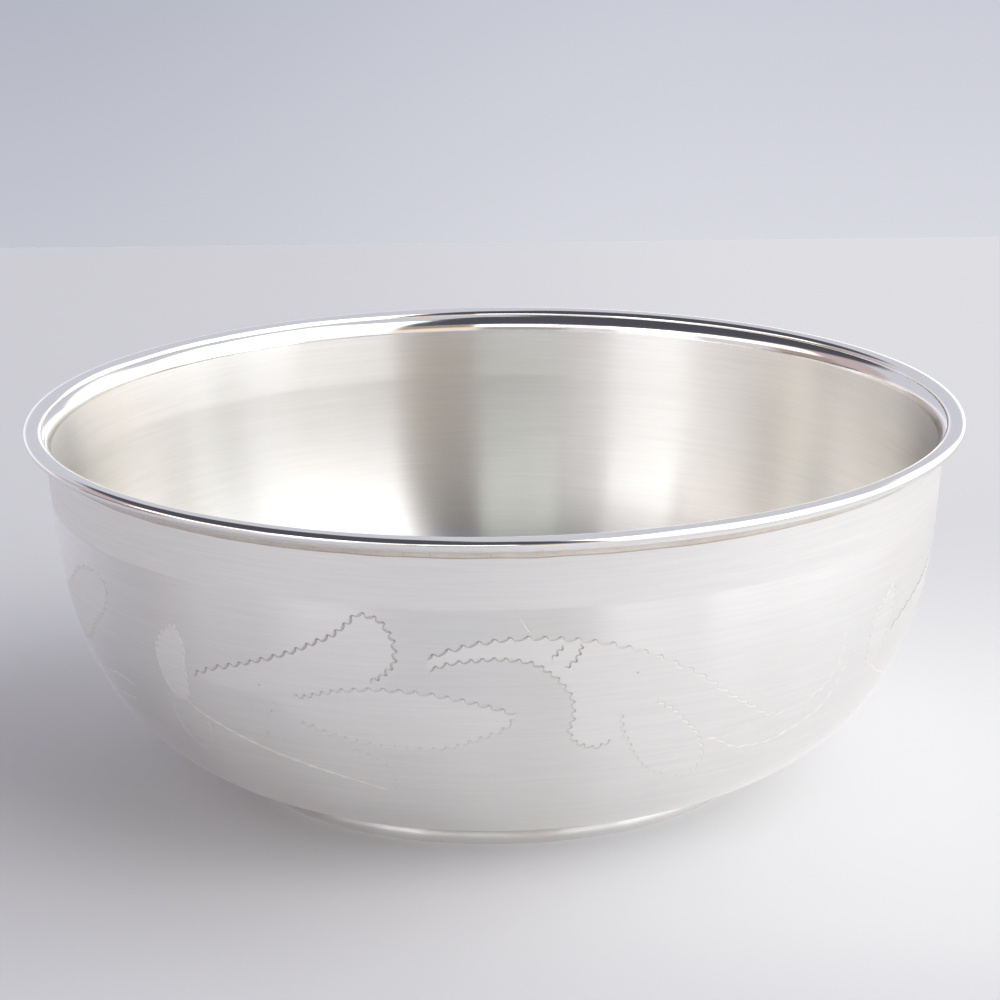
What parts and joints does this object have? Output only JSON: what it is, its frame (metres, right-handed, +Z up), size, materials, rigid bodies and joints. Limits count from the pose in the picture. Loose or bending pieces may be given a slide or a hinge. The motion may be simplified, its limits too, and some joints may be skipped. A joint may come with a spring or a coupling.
{
  "type": "silver bowl",
  "caption": "Round spun silver bowl with curved sides, a burnished crease under an everted lip, a heavy oval rim wire and a low ring foot.",
  "frame": {"origin": "centre of the foot ring's underside, on the plane that the bowl stands on", "axes": "+Z up along the bowl's axis of revolution; +X to the right and -Y towards the viewer of the engraved front"},
  "size_m": [0.12, 0.12, 0.0472],
  "materials": {
    "silver_sheet": "satin silver, finely brushed round the axis",
    "silver_wire": "polished silver",
    "silver_strip": "satin silver",
    "silver_solder": "dull silver solder, filed"
  },
  "bodies": {
    "root": {"bowl_shell": "silver_sheet", "rim_wire": "silver_wire", "rim_solder": "silver_solder", "foot_ring": "silver_strip", "foot_solder": "silver_solder"}
  },
  "joints": []
}
